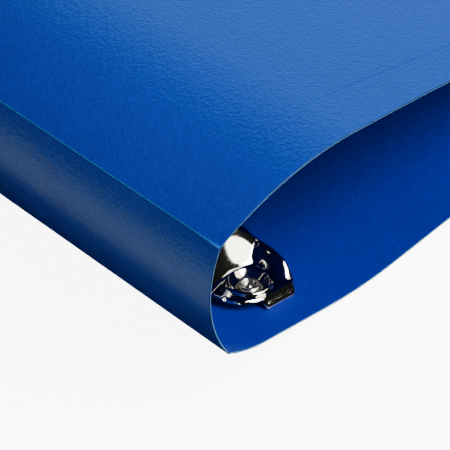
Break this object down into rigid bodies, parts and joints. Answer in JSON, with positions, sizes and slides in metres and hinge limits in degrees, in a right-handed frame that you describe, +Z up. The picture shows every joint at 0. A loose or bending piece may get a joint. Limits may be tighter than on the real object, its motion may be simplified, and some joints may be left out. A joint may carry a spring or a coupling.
{
  "type": "ring binder",
  "caption": "Closed ring binder: bowed plastic covers and spine joined by score lines, with a riveted arched plate, hinged blades and split wire rings.",
  "frame": {"origin": "under the middle of the closed binder, on the surface that it lies on", "axes": "+Y along the spine, +X from the spine to the covers' free edges, +Z up"},
  "size_m": [0.235, 0.315, 0.0519],
  "materials": {
    "cover_plastic": "leather-grain embossed",
    "score_line": "thin, stress-whitened",
    "plate_chrome": "polished",
    "blade_steel": "rolled",
    "ring_chrome": "polished",
    "rivet_metal": "polished"
  },
  "bodies": {
    "back": {"back_cover": "cover_plastic", "ring_plate": "plate_chrome", "rivet_1": "rivet_metal", "rivet_2": "rivet_metal", "washer_1": "rivet_metal", "washer_2": "rivet_metal"},
    "spine": {"spine_panel": "cover_plastic", "front_hinge": "score_line", "back_hinge": "score_line"},
    "front": {"front_cover": "cover_plastic"},
    "left_jaw": {"blade_left": "blade_steel", "ring_left_1": "ring_chrome", "ring_left_2": "ring_chrome", "ring_left_3": "ring_chrome", "ring_left_4": "ring_chrome"},
    "right_jaw": {"blade_right": "blade_steel", "ring_right_1": "ring_chrome", "ring_right_2": "ring_chrome", "ring_right_3": "ring_chrome", "ring_right_4": "ring_chrome"}
  },
  "joints": [
    {"name": "back_fold", "type": "hinge", "parent": "back", "child": "spine", "pos_m": [-0.11449, 0, 0.01269], "axis": [0, -1, 0], "range_deg": [0, 96]},
    {"name": "front_fold", "type": "hinge", "parent": "spine", "child": "front", "pos_m": [-0.11085, 0, 0.04594], "axis": [0, -1, 0], "range_deg": [0, 94]},
    {"name": "left_jaw_turn", "type": "hinge", "parent": "back", "child": "left_jaw", "pos_m": [-0.10118, 0, 0.01088], "axis": [0, -1, 0], "range_deg": [0, 20]},
    {"name": "right_jaw_turn", "type": "hinge", "parent": "back", "child": "right_jaw", "pos_m": [-0.08419, 0, 0.00711], "axis": [0, 1, 0], "range_deg": [0, 20]}
  ],
  "couplings": [
    {"joint": "right_jaw_turn", "follows": "left_jaw_turn", "ratio": 1}
  ]
}
